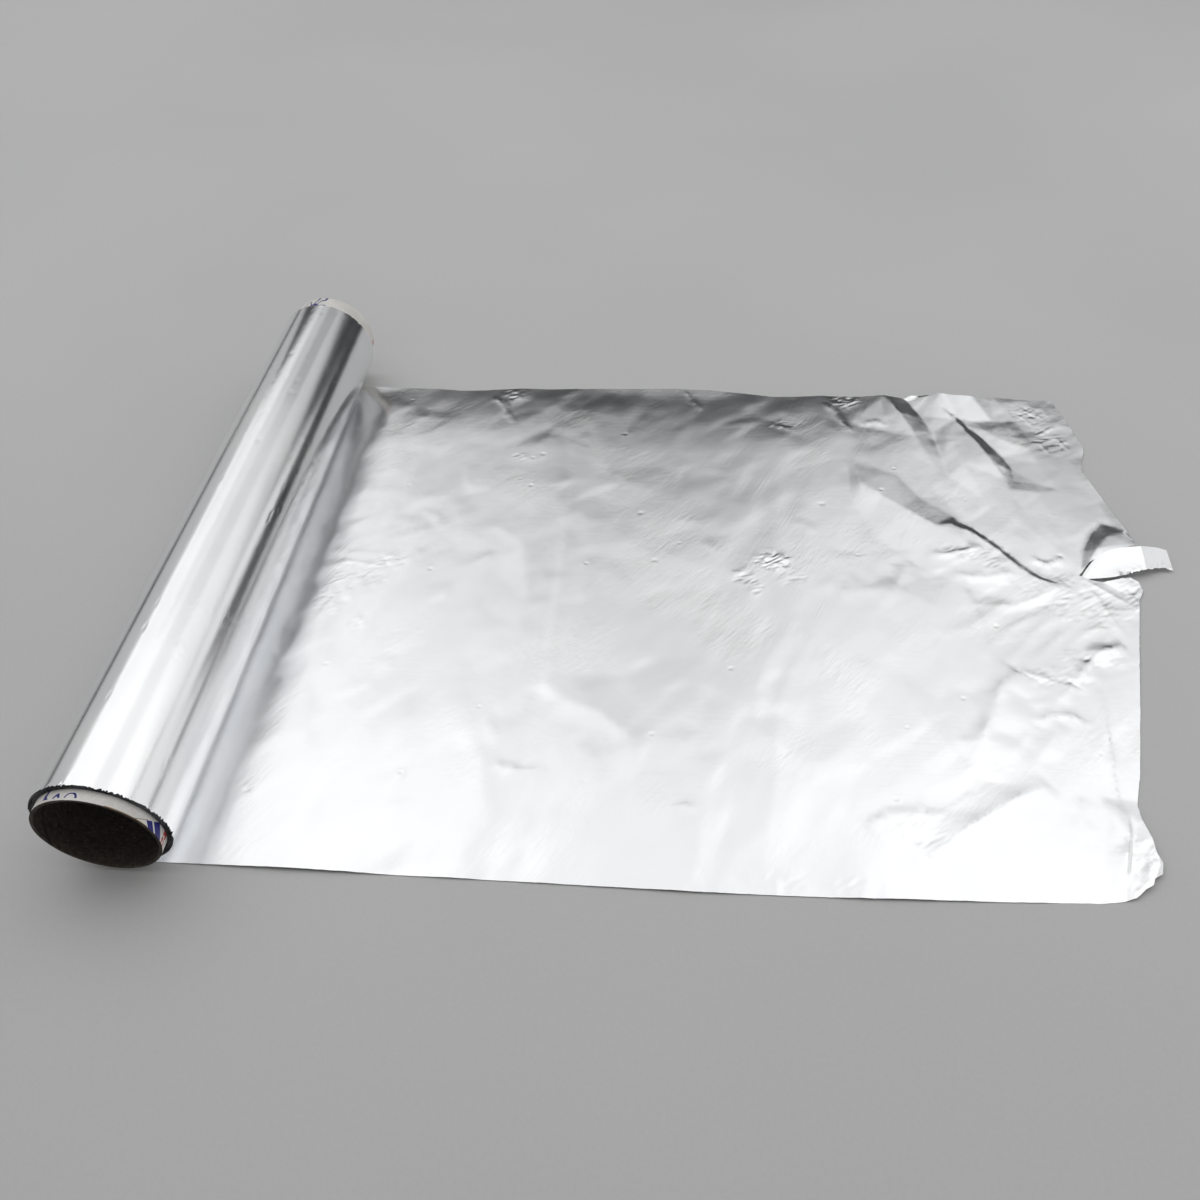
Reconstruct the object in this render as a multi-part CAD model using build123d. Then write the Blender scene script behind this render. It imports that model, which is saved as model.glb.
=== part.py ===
"""A part-used roll of household aluminium foil with its free end pulled out flat.

Frame: the origin is on the roll's axis, in the middle of the foil's width.
+Y runs along the roll's axis, +X along the pulled-out sheet, +Z up.
Two pieces: the foil (wound turns and free sheet, one web) and the paperboard tube it is wound on.
Lengths are millimetres and angles are degrees.
"""

import os

from build123d import *

# ---- the foil and the depth of its wound turns
FOIL_WIDTH = 300.0
WOUND_DEPTH = 2.25
WEB_THICKNESS = 0.3

# ---- the paperboard tube, which stands out of the foil at both ends
BORE_RADIUS = 21.0
TUBE_WALL = 1.1
TUBE_NEAR_REACH = 4.3
TUBE_FAR_REACH = 11.2
WINDING_GAP = 0.05

# ---- the free sheet, from the roll's axis to the tear in its end
FREE_LENGTH = 397.0
NEAR_EDGE_DRIFT = 4.5
FAR_EDGE_DIPS = ((0.78, 4.5), (0.5, 0.0), (0.2, 4.5))

# ---- the tear that runs in from the end, and the strip that curls up beside it
TEAR_Y = 12.0
TEAR_DEPTH = 25.0
TEAR_MOUTH = 3.0
STRIP_WIDTH = 9.5
STRIP_LENGTH = 43.0
STRIP_RISE = 6.5
STRIP_CREST_SHARE = 0.55
STRIP_END_RISE = 3.0
STRIP_ROOT_OVERLAP = 1.2
STRIP_TURN = 12.0

# ---- the far corner: torn off at a slant, with a nick in the slant
CORNER_ROOT_AHEAD = 4.0
CORNER_ROOT_FROM_TEAR = 20.0
NICK_BACK = 7.0
NICK_DEPTH = 5.5
NICK_FROM_EDGE = 64.0
NICK_HEIGHT = 20.0
FAR_CORNER_BACK = 8.0
FAR_CORNER_DIP = 4.0

# ---- the near corner: crumpled and doubled over
NEAR_CORNER_BACK = 53.0
CREASE_REACH = 21.0
CREASE_WIDTH = 10.0
CREASE_ROUND = 21.0
CREASE_LENGTH = 41.0

# ---- the raised folds that run from the far edge towards the tear
FOLD_RISE = 5.0
FOLD_WIDTH = 20.0
FOLD_RUN = 62.0
FOLD_BACK = 69.0
FOLD_TURN = 24.0
SIDE_FOLD_RISE = 3.0
SIDE_FOLD_WIDTH = 13.0
SIDE_FOLD_RUN = 70.0
SIDE_FOLD_BACK = 86.0
SIDE_FOLD_TURN = 10.0
FOLD_STEEP_SHARE = 0.25
FOLD_TIP_SHARE = 0.2
FOLD_OVERRUN = 12.0

# ---- worked out from the sizes above
HALF_WIDTH = FOIL_WIDTH / 2
TUBE_RADIUS = BORE_RADIUS + TUBE_WALL
TURNS_RADIUS = TUBE_RADIUS + WINDING_GAP
ROLL_RADIUS = TURNS_RADIUS + WOUND_DEPTH
TUBE_LENGTH = FOIL_WIDTH + TUBE_NEAR_REACH + TUBE_FAR_REACH
FLOOR = -ROLL_RADIUS
TEAR_TIP_X = FREE_LENGTH - TEAR_DEPTH
NEAR_CORNER_X = FREE_LENGTH - NEAR_CORNER_BACK
NEAR_CORNER_Y = -HALF_WIDTH + NEAR_EDGE_DRIFT
FAR_CORNER_X = FREE_LENGTH - FAR_CORNER_BACK
FAR_CORNER_Y = HALF_WIDTH - FAR_CORNER_DIP


def ring(outer, inner, start_y, length):
    """A straight tube along +Y that starts at start_y."""
    section = Circle(outer) - Circle(inner)
    return extrude(Plane.XZ.offset(-start_y) * section, -length)


def sheet_outline():
    """The free sheet seen from above: two web edges, the roll's side, and the torn end."""
    crease_x = NEAR_CORNER_X + CREASE_REACH
    near_edge = Polyline((0, HALF_WIDTH), (0, -HALF_WIDTH), (NEAR_CORNER_X, NEAR_CORNER_Y))
    near_corner = RadiusArc(
        (NEAR_CORNER_X, NEAR_CORNER_Y),
        (crease_x, NEAR_CORNER_Y + CREASE_ROUND),
        -CREASE_ROUND,
    )
    nick_x = FREE_LENGTH - NICK_BACK
    nick_y = HALF_WIDTH - NICK_FROM_EDGE
    torn_end = Polyline(
        (crease_x, NEAR_CORNER_Y + CREASE_ROUND),
        (crease_x, NEAR_CORNER_Y + CREASE_LENGTH),
        (FREE_LENGTH, TEAR_Y - TEAR_MOUTH),
        (TEAR_TIP_X, TEAR_Y),
        (FREE_LENGTH + CORNER_ROOT_AHEAD, TEAR_Y + CORNER_ROOT_FROM_TEAR),
        (nick_x, nick_y),
        (nick_x + NICK_DEPTH, nick_y + NICK_HEIGHT),
        (FAR_CORNER_X, FAR_CORNER_Y),
    )
    dips = [(FAR_CORNER_X * share, HALF_WIDTH - dip) for share, dip in FAR_EDGE_DIPS]
    far_edge = Spline((FAR_CORNER_X, FAR_CORNER_Y), *dips, (0, HALF_WIDTH))
    return make_face([near_edge, near_corner, torn_end, far_edge])


def fold(rise, width, run, skin):
    """A raised fold as a tent: its mouth is on y = 0, its tip on y = -run, and skin is taken off all round.

    The slope on the -X side is long and the one on the +X side is steep.
    """
    steep = width * FOLD_STEEP_SHARE
    ends = ((FOLD_OVERRUN, 1), (-run, FOLD_TIP_SHARE))
    sections = []
    for y, share in ends:
        foot = (-(width - steep) * share + skin, 0)
        crest = (0, rise * share - skin)
        steep_foot = (steep * share - skin, 0)
        sections.append(Plane.XZ.offset(-y) * make_face(Polyline(foot, crest, steep_foot, close=True)))
    return loft(sections, ruled=True)


def curled_strip():
    """The torn strip: a ribbon that arches up out of the tear and curls down past the sheet's end."""
    crest_x = STRIP_LENGTH * STRIP_CREST_SHARE
    inner_end = (STRIP_LENGTH - WEB_THICKNESS, STRIP_END_RISE)
    inner_root = (2 * WEB_THICKNESS, 0)
    band = make_face([
        ThreePointArc((0, 0), (crest_x, STRIP_RISE), (STRIP_LENGTH, STRIP_END_RISE)),
        Line((STRIP_LENGTH, STRIP_END_RISE), inner_end),
        ThreePointArc(inner_end, (crest_x, STRIP_RISE - WEB_THICKNESS), inner_root),
        Line(inner_root, (0, 0)),
    ])
    ribbon = extrude(Plane.XZ * band, -STRIP_WIDTH)
    return Pos(TEAR_TIP_X - STRIP_ROOT_OVERLAP, TEAR_Y, FLOOR) * Rot(Z=STRIP_TURN) * ribbon


def doubled_corner():
    """The near corner's second layer, between the crease and the crumpled edge."""
    crease_x = NEAR_CORNER_X + CREASE_REACH
    patch = make_face(Polyline(
        (NEAR_CORNER_X, NEAR_CORNER_Y),
        (crease_x, NEAR_CORNER_Y),
        (crease_x, NEAR_CORNER_Y + CREASE_LENGTH),
        (crease_x - CREASE_WIDTH, NEAR_CORNER_Y + CREASE_ROUND),
        close=True,
    ))
    return Pos(0, 0, FLOOR) * extrude(patch, 2 * WEB_THICKNESS)


def make_foil():
    """The whole web: the wound turns as one thick ring, and the sheet that leaves the ring's bottom."""
    turns = ring(ROLL_RADIUS, TURNS_RADIUS, -HALF_WIDTH, FOIL_WIDTH)
    outline = sheet_outline()
    sheet = Pos(0, 0, FLOOR) * extrude(outline, WEB_THICKNESS) + doubled_corner()
    folds = (
        (FOLD_RISE, FOLD_WIDTH, FOLD_RUN, FOLD_BACK, FOLD_TURN),
        (SIDE_FOLD_RISE, SIDE_FOLD_WIDTH, SIDE_FOLD_RUN, SIDE_FOLD_BACK, SIDE_FOLD_TURN),
    )
    for rise, width, run, back, turn in folds:
        place = Pos(FREE_LENGTH - back, HALF_WIDTH, FLOOR) * Rot(Z=turn)
        sheet += place * fold(rise, width, run, 0)
        sheet -= place * fold(rise, width, run, WEB_THICKNESS)
    sheet &= Pos(0, 0, FLOOR) * extrude(outline, 2 * FOLD_RISE)
    return turns + sheet + curled_strip()


def make_core_tube():
    """The paperboard tube, longer than the foil is wide."""
    return ring(TUBE_RADIUS, BORE_RADIUS, -HALF_WIDTH - TUBE_NEAR_REACH, TUBE_LENGTH)


os.makedirs("parts", exist_ok=True)
for name, piece in {"foil": make_foil(), "core_tube": make_core_tube()}.items():
    export_step(piece, f"parts/{name}.step")
    box = piece.bounding_box()
    print(f"{name}: {len(piece.solids())} solid, {piece.volume:.0f} mm3, {box.min} to {box.max}")
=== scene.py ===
# %% [markdown]
# # A part-used roll of aluminium foil
#
# The roll lies on a table with about forty centimetres of its foil pulled out and torn off badly. It is
# made of two real pieces: one long strip of foil, and the paperboard tube that it is wound on. A
# lathe-like body is enough for the tube, but foil is all about small bends, because a bright sheet shows
# every one of them in what it mirrors. So this lesson spends its effort on the sheet: an outline with
# honest tears, a mesh that is finer where the foil is folded, and a height for each point that is the sum
# of folds, creases, crumples, small facets and slow waves.

import math

import bpy
import numpy as np
from mathutils import Matrix, Vector, geometry, noise


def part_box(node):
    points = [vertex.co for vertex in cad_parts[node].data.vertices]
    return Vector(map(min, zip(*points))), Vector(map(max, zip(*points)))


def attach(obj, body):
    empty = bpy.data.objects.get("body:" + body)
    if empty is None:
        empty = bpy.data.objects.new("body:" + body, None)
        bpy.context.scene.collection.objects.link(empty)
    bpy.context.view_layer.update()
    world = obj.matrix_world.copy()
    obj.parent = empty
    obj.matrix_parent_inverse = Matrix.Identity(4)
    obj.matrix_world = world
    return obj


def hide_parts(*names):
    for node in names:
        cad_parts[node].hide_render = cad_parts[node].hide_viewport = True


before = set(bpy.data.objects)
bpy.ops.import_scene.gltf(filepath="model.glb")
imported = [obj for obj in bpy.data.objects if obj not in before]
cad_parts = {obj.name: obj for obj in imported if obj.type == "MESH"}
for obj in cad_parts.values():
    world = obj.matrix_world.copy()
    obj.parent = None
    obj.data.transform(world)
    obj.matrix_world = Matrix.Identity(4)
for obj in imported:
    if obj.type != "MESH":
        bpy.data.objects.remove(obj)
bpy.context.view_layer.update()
MM = 0.001

# %% [markdown]
# ## Sizes from the frame
#
# The frame's origin is on the roll's axis, so every radius is simply a height above that axis and the
# table is one roll radius below it. The foil node's highest point gives the roll, the tube node's highest
# point gives the tube, and their Y limits give the ends. So no size is typed in twice, except the wall of
# the tube and the skin of the foil, which are too thin to read off a box.

# %% Sizes that every piece shares, in metres
foil_low, foil_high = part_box("foil")
tube_low, tube_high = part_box("core_tube")
FLOOR_Z = foil_low.z
ROLL_RADIUS = foil_high.z
HALF_WIDTH = foil_high.y
TUBE_RADIUS = tube_high.z
TUBE_WALL = 1.1 * MM
BORE_RADIUS = TUBE_RADIUS - TUBE_WALL
FOIL_SKIN = 0.06 * MM
print("roll radius", ROLL_RADIUS, "tube radius", TUBE_RADIUS, "table", FLOOR_Z)

# %% [markdown]
# ## Camera
#
# The viewer stands near the roll's open end and looks down at about forty-six degrees, turned a little to
# the left of the roll's axis. A camera can be aimed with a target, but here three plain turns say it
# better: the pitch, the turn about the vertical, and a small roll, so that the view is not perfectly
# level.

# %% The camera
CAMERA_PLACE = Vector((0.1962, -0.3221, 0.3023))
CAMERA_PITCH = 46.28
CAMERA_TURN = 6.50
CAMERA_ROLL = 2.72
CAMERA_LENS = 30.6
CAMERA_SENSOR = 36


def turn(degrees, axis):
    return Matrix.Rotation(math.radians(degrees), 4, axis)


def add_object(name, data):
    added = bpy.data.objects.new(name, data)
    bpy.context.scene.collection.objects.link(added)
    return added


def add_camera():
    data = bpy.data.cameras.new("camera")
    data.lens = CAMERA_LENS
    data.sensor_width = CAMERA_SENSOR
    data.clip_start = 0.01
    data.clip_end = 50
    camera = add_object("camera", data)
    aim = turn(CAMERA_TURN, "Z") @ turn(90 - CAMERA_PITCH, "X") @ turn(-CAMERA_ROLL, "Z")
    camera.matrix_world = Matrix.Translation(CAMERA_PLACE) @ aim
    bpy.context.scene.camera = camera


add_camera()
print("camera at", tuple(CAMERA_PLACE))

# %% [markdown]
# ## Node arithmetic
#
# Shader maths drawn as boxes is slow to read, so a socket is wrapped in a small class and the usual
# operators add the Math nodes. `make` is the one door for every other node: it takes the node's type,
# then its settings, then what goes into its sockets. The same class serves the geometry trees further
# down, since their maths nodes are the same ones.


# %% A socket that can be added, multiplied and passed on
class Wire:
    """A socket of a node tree, with arithmetic."""

    def __init__(self, tree, socket=None):
        self.tree = tree
        self.socket = socket

    def make(self, kind, settings=None, *values, out=0, **named):
        node = self.tree.nodes.new(kind)
        for key, value in (settings or {}).items():
            setattr(node, key, value)
        wanted = [*enumerate(values), *((name.replace("_", " "), v) for name, v in named.items())]
        for name, value in wanted:
            if isinstance(value, Wire):
                self.tree.links.new(value.socket, node.inputs[name])
            elif value is not None:
                node.inputs[name].default_value = value
        return Wire(self.tree, node.outputs[out])

    def other(self, name):
        return Wire(self.tree, self.socket.node.outputs[name])

    def math(self, operation, *values):
        return self.make("ShaderNodeMath", {"operation": operation}, *values)

    def __add__(self, value):
        return self.math("ADD", self, value)

    def __sub__(self, value):
        return self.math("SUBTRACT", self, value)

    def __mul__(self, value):
        return self.math("MULTIPLY", self, value)

    def __truediv__(self, value):
        return self.math("DIVIDE", self, value)

    def __rsub__(self, value):
        return self.math("SUBTRACT", value, self)

    __radd__ = __add__
    __rmul__ = __mul__

    def between(self, low, high):
        """0 below low, 1 above high, smooth between."""
        settings = {"interpolation_type": "SMOOTHSTEP"}
        return self.make("ShaderNodeMapRange", settings, self, low, high, 0.0, 1.0)


def blend(mask, low, high):
    """Mixes two colours by a mask. The Mix node's five sockets between them are for other data."""
    low, high = (colour if isinstance(colour, Wire) else (*colour, 1.0) for colour in (low, high))
    others = [None] * 5
    return mask.make("ShaderNodeMix", {"data_type": "RGBA"}, mask, *others, low, high, out=2)


def start_material(name, **constants):
    """A material with its shader's constants set, and a wire to build its tree with."""
    material = bpy.data.materials.new(name)
    material.use_nodes = True
    shader = material.node_tree.nodes["Principled BSDF"]
    for key, value in constants.items():
        shader.inputs[key.replace("_", " ")].default_value = value
    return material, shader, Wire(material.node_tree)


def feed(shader, name, wire):
    wire.tree.links.new(wire.socket, shader.inputs[name])


def object_place(wire, sizes=(1, 1, 1), lean=0.0):
    """Object coordinates counted in grains of these sizes, in metres, that lean by some degrees."""
    coords = wire.make("ShaderNodeTexCoord", out="Object")
    settings = {"vector_type": "TEXTURE"}
    rotation = (0, 0, math.radians(lean))
    return wire.make("ShaderNodeMapping", settings, coords, Rotation=rotation, Scale=sizes)


def parted(wire, place):
    """A vector's X, with its Y and Z to be had by other()."""
    return wire.make("ShaderNodeSeparateXYZ", {}, place)


def angle_round(wire, parts):
    """Degrees round the roll's axis, from the sheet's side upwards."""
    return wire.math("ARCTAN2", parts.other("Z"), parts.other("X")) * (180 / math.pi)


def grain(wire, place, scale, detail=2.0, roughness=0.5):
    """Noise around zero."""
    texture = wire.make(
        "ShaderNodeTexNoise", {}, Vector=place, Scale=scale, Detail=detail, Roughness=roughness,
    )
    return texture - 0.5


def bump(wire, height, strength, distance):
    return wire.make(
        "ShaderNodeBump", {}, Strength=strength, Distance=distance, Height=height, out="Normal",
    )


print("node arithmetic ready")

# %% [markdown]
# ## Foil, both of its faces
#
# Foil is rolled two sheets at a time through the last mill stand. The faces that touch the steel come out
# bright with fine lines along the web, and the faces that touch each other come out satin. On this roll
# the bright face is outside and the satin face is on top once the foil is pulled out from below. Both are
# bare metal, so the colour does almost nothing and the finish lives in the roughness and the bump:
# rolling lines on the bright face, and on the satin face slanting streaks and tiny wrinkles, mostly on
# its far half, from where hands have dragged it over the table.


# %% Bright foil for the outside of the roll
def bright_foil():
    material, shader, wire = start_material("bright_foil", Metallic=1.0)
    rolling_lines = grain(wire, object_place(wire, (60 * MM, 0.5 * MM, 60 * MM)), 1.0, 3.0)
    winding_lines = grain(wire, object_place(wire, (3 * MM, 220 * MM, 3 * MM)), 1.0, 3.0, 0.6)
    pebble = grain(wire, object_place(wire), 420.0, 3.0)
    cloud = grain(wire, object_place(wire), 26.0, 3.0)
    scuffs = grain(wire, object_place(wire, (1.6 * MM, 5 * MM, 1.6 * MM)), 1.0, 3.0, 0.6)
    scuffed = scuffs * grain(wire, object_place(wire), 42.0, 2.0).between(0.08, 0.22)
    colour = blend(cloud.between(-0.2, 0.25), (0.87, 0.88, 0.895), (0.94, 0.945, 0.95))
    feed(shader, "Base Color", colour)
    feed(shader, "Roughness", 0.18 + cloud * 0.10 + winding_lines * 0.06)
    relief = rolling_lines * 0.5 + winding_lines + pebble * 0.35 + scuffed * 5.0
    feed(shader, "Normal", bump(wire, relief, 0.35, 0.05 * MM))
    return material


BRIGHT_FOIL = bright_foil()
print("bright foil ready")


# %% Satin foil for the top of the pulled-out sheet
def satin_foil():
    material, shader, wire = start_material("satin_foil", Metallic=1.0)
    rubbed_lines = grain(wire, object_place(wire, (0.85 * MM, 38 * MM, 9 * MM), -24), 1.0, 2.0, 0.6)
    rubbed_patches = grain(wire, object_place(wire, (11 * MM, 46 * MM, 20 * MM), -25), 1.0, 2.0)
    short_wrinkles = grain(wire, object_place(wire, (2.0 * MM, 7 * MM, 4 * MM), -38), 1.0, 3.0, 0.6)
    patches = grain(wire, object_place(wire), 30.0, 3.0)
    pebble = grain(wire, object_place(wire), 420.0, 3.0, 0.55)
    rolling_lines = grain(wire, object_place(wire, (80 * MM, 1.1 * MM, 40 * MM)), 1.0, 2.0)
    in_far_half = parted(wire, object_place(wire)).other("Y").between(-70 * MM, -20 * MM)
    rubbed = rubbed_lines * rubbed_patches.between(-0.08, 0.22) * (0.25 + 0.75 * in_far_half)
    wrinkled = short_wrinkles * patches.between(-0.02, 0.16)
    relief = rubbed * 0.5 + wrinkled + pebble * 0.22 + rolling_lines * 0.08
    colour = blend(patches.between(-0.25, 0.25), (0.89, 0.90, 0.915), (0.94, 0.945, 0.95))
    feed(shader, "Base Color", colour)
    feed(shader, "Roughness", 0.22 + patches * 0.10 + rubbed * 0.10)
    feed(shader, "Normal", bump(wire, relief, 0.6, 0.20 * MM))
    return material


SATIN_FOIL = satin_foil()
print("satin foil ready")


# %% The stacked edges of the wound turns, painted near black as the shade they lie in
def foil_edges():
    material, shader, wire = start_material("foil_edges", Metallic=1.0)
    place = object_place(wire)
    speck = grain(wire, place, 900.0, 3.0)
    smear = grain(wire, place, 90.0, 2.0)
    # Bare aluminium edges coloured near black, with specks and blotches: painted shade where the rims face
    # away from the lights
    colour = blend((speck + smear).between(-0.25, 0.3), (0.02, 0.02, 0.023), (0.13, 0.13, 0.14))
    feed(shader, "Base Color", colour)
    feed(shader, "Roughness", 0.42 + speck * 0.3)
    feed(shader, "Normal", bump(wire, speck, 0.6, 0.08 * MM))
    return material


FOIL_EDGES_PAINTED_SHADE = foil_edges()
print("edge finish ready")

# %% [markdown]
# ## Outline of the pulled-out sheet
#
# The sheet could be a rectangle with a torn-looking texture at its end, but a tear is a shape, and it has
# to be cut. So the outline is walked point by point in millimetres, from the roll along the near edge, up
# the torn end with its tear, and back along the far edge. Slit edges are almost straight with a slight
# waver; torn edges get a saw of small teeth. Each stretch says how ragged it is.

# %% Points of the outline, in millimetres from the roll's axis (x) and the middle of the web (y)
EDGE_STEP = 1.1
TEAR_TIP = (371.5, 12.0)
NEAR_EDGE = [
    (0, -150), (70, -150), (140, -149.8), (206, -150), (266, -148.8), (310, -147.2), (343.5, -145.6),
]
CRUMPLED_CORNER = [
    (343.5, -145.6), (350, -144.6), (354, -143.4), (357.5, -140.4), (360.5, -138.6), (361.6, -136.2),
    (365, -134), (366, -130), (364.8, -126.5), (365.2, -120), (364.2, -113), (364.8, -105),
]
LOWER_TORN_EDGE = [
    (364.8, -105), (369, -93), (377.4, -62.7), (387.5, -24), (391, -12), (393.5, -2), (396.8, 4),
    (396.5, 9.5),
]
LOWER_LIP = [(396.5, 9.5), (392.5, 12.4), (388, 10.4), (381, 8.6), (376, 9.6), TEAR_TIP]
UPPER_LIP = [TEAR_TIP, (377, 19), (386, 25.5), (394, 29), (400.5, 31)]
FAR_TORN_EDGE = [
    (400.5, 31), (398.2, 47), (394.5, 66), (390.2, 85), (391.6, 93), (394.6, 100), (395.6, 105.5),
    (392.6, 124), (388.3, 144.3),
]
FAR_EDGE = [
    (388.3, 144.3), (376, 143.6), (360, 144), (346, 141.4), (334, 141.6), (327, 143.2), (317, 143.6),
    (311, 142), (305, 143.2), (299, 144.8), (285, 144.6), (268, 145.6), (254, 144.4), (242, 144),
    (228, 146.6), (210, 149.4), (190, 150.4), (165, 149.4), (150, 149), (130, 147.8), (104, 147.2),
    (86, 145), (70, 144.4), (58, 145.8), (40, 146.2), (22, 147), (10, 149), (0, 150),
]
OUTLINE = [
    (NEAR_EDGE, 0.12), (CRUMPLED_CORNER, 0.35), (LOWER_TORN_EDGE, 0.22), (LOWER_LIP, 0.3),
    (UPPER_LIP, 0.2), (FAR_TORN_EDGE, 0.12), (FAR_EDGE, 0.25), ([(0, 150), (0, -150)], 0.0),
]


def waver(x, y, size, layer=0.0):
    """Smooth repeatable noise between about -1 and 1; size is the width of its bumps."""
    return noise.noise(Vector((x / size, y / size, layer)))


def walk(points, step):
    """Points every step along a run of straight lines, without the last one."""
    walked = []
    for (x0, y0), (x1, y1) in zip(points, points[1:]):
        count = max(1, round(math.hypot(x1 - x0, y1 - y0) / step))
        walked += [(x0 + (x1 - x0) * i / count, y0 + (y1 - y0) * i / count) for i in range(count)]
    return walked


def ragged_outline():
    edge = []
    for stretch, ragged in OUTLINE:
        for x, y in walk(stretch, EDGE_STEP):
            tooth = ragged * (waver(x, y, 1.7, 3.0) + 0.6 * waver(x, y, 6.0, 5.0))
            kept = ragged > 0 and (x, y) != TEAR_TIP and x > 1
            edge.append((x + tooth * kept, y + tooth * kept))
    return edge


outline = ragged_outline()
print("outline points", len(outline))

# %% [markdown]
# ## Folds
#
# Foil cannot stretch, so where it is pushed it breaks into flat facets that meet in sharp lines. The big
# folds of the torn end are therefore not bumps but a net: each line below runs along a ridge or a valley,
# with its height at every point, and the heights between the lines are flat triangles. A steep narrow
# facet that looks away from the lights goes dark, a wide one that leans to the viewer lights up, and that
# contrast is what the eye reads as a fold. They could be sculpted by hand, but a net of a few dozen
# points is easier to correct.

# %% Fold lines at the torn end: x, y and height in millimetres
FOLD_LINES = {
    "first ridge": [(301, 144.5, 3.3), (306.5, 128, 2.7), (311.5, 112.5, 1.7)],
    "first ridge tail": [(313, 108, 1.5), (316.5, 94, 1.3), (321, 76, 0.9)],
    "first foot": [
        (312.6, 142, 0.3), (318.5, 126, 0.4), (322, 112.5, 0.5), (323.6, 92, 0.9), (324, 78, 0.8),
    ],
    "middle pucker": [(318.4, 142.6, 1.5), (322, 137, 2.0), (326.4, 143.2, 3.2)],
    "second ridge": [
        (326, 136, 2.6), (335.3, 122.7, 2.3), (341, 108.5, 2.9), (345.5, 95, 2.9), (348.8, 86, 2.5),
        (350.4, 81, 2.2), (351.5, 76, 1.9),
    ],
    "second foot": [(339.4, 117.5, 1.6), (346.8, 107, 1.2), (353.2, 94.5, 0.6), (356.6, 85, 0.9)],
    "lifted far edge": [
        (331, 144, 4.8), (345, 143.6, 4.4), (357, 145, 1.9), (376, 144.5, 0.4), (388.3, 144.3, 0.2),
    ],
    "valley under it": [(336.5, 123.5, 1.9), (344, 122.6, 1.4), (354, 123.6, 1.0), (367, 124.5, 0.6)],
    "shade under it": [(348, 115, 1.7), (357, 116, 1.3), (367, 117, 0.75)],
    "shoulder": [(358, 106, 1.35), (368, 102, 1.1), (385, 106, 0.5)],
    "small dent": [(352, 69, 1.8), (365.5, 67.5, 1.55)],
    "small dent foot": [(355.4, 76, 1.25), (367.5, 73.5, 1.1)],
    "winding foot": [(299, 78, 0.8), (308.8, 61, 0.6), (321, 61.5, 0.5), (323, 48.5, 0.6)],
    "winding shoulder": [(281, 70, 1.0), (300, 52, 1.6), (313.5, 40.5, 1.5)],
    "crease to the tear": [
        (320.7, 42.5, 1.7), (328.4, 38, 2.0), (338.8, 26, 2.0), (345.7, 15.8, 1.7), (352.6, 8.9, 1.3),
        (363, 5.5, 0.9),
    ],
    "crease foot": [
        (323, 44, 0.9), (330.3, 39.8, 1.0), (340.7, 27.6, 1.0), (347.6, 17.2, 0.8), (354, 10.8, 0.7),
    ],
    "leaf foot": [(373.2, 15, 0.9), (375.6, 26, 0.9), (381.2, 38, 1.0), (389, 47, 0.9)],
    "leaf ridge": [(375.6, 17, 1.9), (382.6, 27, 3.4), (389.4, 36.5, 2.8), (394, 44, 1.4)],
    "corner by the strip": [(400.6, 31, 2.6), (397.6, 40, 2.1)],
    "calm field": [
        (370, 90, 1.1), (376, 70, 1.1), (368, 52, 1.2), (362, 34, 1.2), (350, 50, 1.5), (338, 62, 1.5),
    ],
    "beside the torn edge": [(392, 62, 0.7), (393, 80, 0.5)],
    "between the ridges": [(330, 108, 2.2), (333, 86, 2.1)],
}
CORNER_LINES = {
    "lip": [
        (359.8, -112, 1.0), (358.3, -118.5, 1.4), (355.3, -126.5, 1.6), (353.4, -133, 1.5),
        (347.4, -142.2, 1.0),
    ],
    "hinge": [
        (361, -112, 0.7), (359.8, -118, 0.6), (356.9, -126, 0.5), (354.9, -132.6, 0.5),
        (348.9, -143, 0.5),
    ],
    "flap rim": [
        (364.2, -113, 1.1), (365, -120, 1.8), (365, -130, 2.1), (360, -138.2, 2.0), (354, -142.4, 1.6),
    ],
    "flap wrinkles upper": [
        (362.4, -121.5, 1.5), (361.4, -126, 1.0), (362.6, -129, 1.8), (359.4, -131.5, 1.0),
    ],
    "flap wrinkles lower": [
        (360.4, -134, 1.7), (357.6, -135.6, 1.0), (356.4, -138.6, 1.3), (352.8, -139.8, 0.9),
    ],
}
CORNER_RIM = [
    (352, -104), (366, -104), (369, -120), (369, -134), (362, -145), (350, -150), (340, -146),
    (347, -128),
]
NET_RIM = [
    (278, 152), (281, 120), (277, 88), (277, 58), (286, 32), (303, 14), (322, 2), (345, -8), (368, -4),
    (390, 2), (404, 12), (408, 34), (404, 70), (402, 110), (396, 152), (340, 156),
]
print("fold lines", len(FOLD_LINES) + len(CORNER_LINES))


# %% Strewn spots, and heights read off the flat triangles between spots
ROW_SPACING = 0.866  # the height of a triangle with sides of 1


def strewn(x0, x1, y0, y1, step, seed, nudge=0.14):
    """Offset rows of points, each nudged a little."""
    rng = np.random.default_rng(seed)
    rows = int((y1 - y0) / (step * ROW_SPACING))
    columns = int((x1 - x0) / step)
    row, column = np.mgrid[0:rows, 0:columns]
    x = x0 + (column + 0.5 * (row % 2) + 0.25) * step
    y = y0 + (row + 0.5) * step * ROW_SPACING
    x = x + rng.uniform(-nudge, nudge, x.shape) * step
    y = y + rng.uniform(-nudge, nudge, y.shape) * step
    return np.stack([x.ravel(), y.ravel()], 1)


def triangulated(spots, joins=()):
    """Triangles between flat spots, each corner as the number of its spot."""
    flat = [Vector((float(spot[0]), float(spot[1]))) for spot in spots]
    _, _, triangles, origins, *_ = geometry.delaunay_2d_cdt(flat, list(joins), [], 0, 1e-6)
    return [[origins[corner][0] for corner in triangle] for triangle in triangles]


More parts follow.
